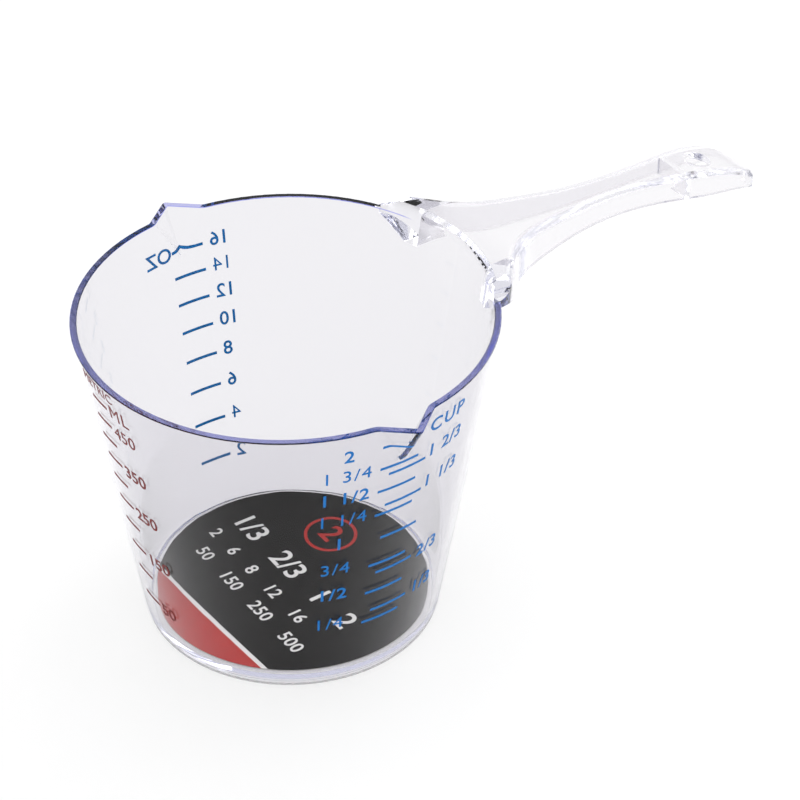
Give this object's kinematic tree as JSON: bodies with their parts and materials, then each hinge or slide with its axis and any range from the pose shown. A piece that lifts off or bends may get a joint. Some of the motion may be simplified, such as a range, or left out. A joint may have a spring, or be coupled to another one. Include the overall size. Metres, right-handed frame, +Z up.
{
  "type": "measuring cup",
  "caption": "Clear moulded measuring and mixing cup with pouring spouts on both sides, a long channel handle with a hang hole and printed volume scales.",
  "frame": {"origin": "centre of the foot ring on the resting plane", "axes": "+Z up along the cup's axis, +X out along the handle, spouts towards -Y and +Y"},
  "size_m": [0.2035, 0.1204, 0.0947],
  "materials": {
    "clear_plastic": "clear injection-moulded styrene plastic, polished",
    "blue_ink": "screen-printed ink on the outside of the wall",
    "brown_ink": "screen-printed ink on the outside of the wall",
    "black_card": "die-cut coated card, printed black",
    "white_ink": "unprinted white of the coated card",
    "red_ink": "offset-printed red on coated card"
  },
  "bodies": {
    "cup": {"cup_body": "clear_plastic", "ounce_scale": "blue_ink", "cup_scale": "blue_ink", "millilitre_scale": "brown_ink"},
    "card": {"card_disc": "black_card", "card_stripe": "white_ink", "card_colour_field": "red_ink"}
  },
  "joints": [
    {"name": "card_lift", "type": "slide", "parent": "cup", "child": "card", "axis": [0, 0, 1], "range_m": [0, 0.11]}
  ]
}
